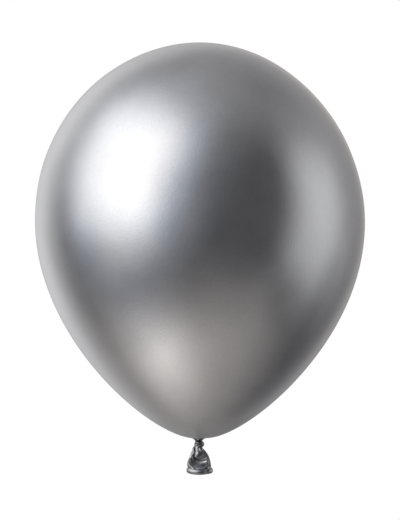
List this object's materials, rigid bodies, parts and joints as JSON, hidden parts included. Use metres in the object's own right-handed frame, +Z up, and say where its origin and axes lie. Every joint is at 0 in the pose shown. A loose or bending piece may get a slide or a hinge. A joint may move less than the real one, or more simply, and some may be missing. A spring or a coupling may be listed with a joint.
{
  "type": "latex party balloon",
  "caption": "Blown-up latex party balloon with a satin chrome finish, a gathered neck tied in an overhand knot, and a flared open tail with a rolled lip.",
  "frame": {"origin": "tie point on the neck's axis, its narrowest place, just above the knot", "axes": "+Z up through the crown, +X to the right of the pictured side, +Y away from it"},
  "size_m": [0.305, 0.305, 0.3988],
  "materials": {
    "chrome_film": "satin metallic chrome on stretched latex",
    "gathered_film": "darker satin metallic chrome on unstretched latex"
  },
  "bodies": {
    "envelope": {"envelope": "chrome_film", "throat": "gathered_film"},
    "knot": {"neck_strand": "gathered_film", "tail_strand": "gathered_film"},
    "tail": {"tail": "gathered_film", "lip": "gathered_film"}
  },
  "joints": [
    {"name": "neck_flex", "type": "hinge", "parent": "envelope", "child": "knot", "pos_m": [0, 0, 0], "axis": [0, 1, 0], "range_deg": [-20, 20], "stiffness_Nm_per_rad": 0.0002},
    {"name": "tail_bend", "type": "hinge", "parent": "knot", "child": "tail", "pos_m": [0, 0, -0.01], "axis": [1, 0, 0], "range_deg": [-50, 50], "stiffness_Nm_per_rad": 0.0002}
  ]
}
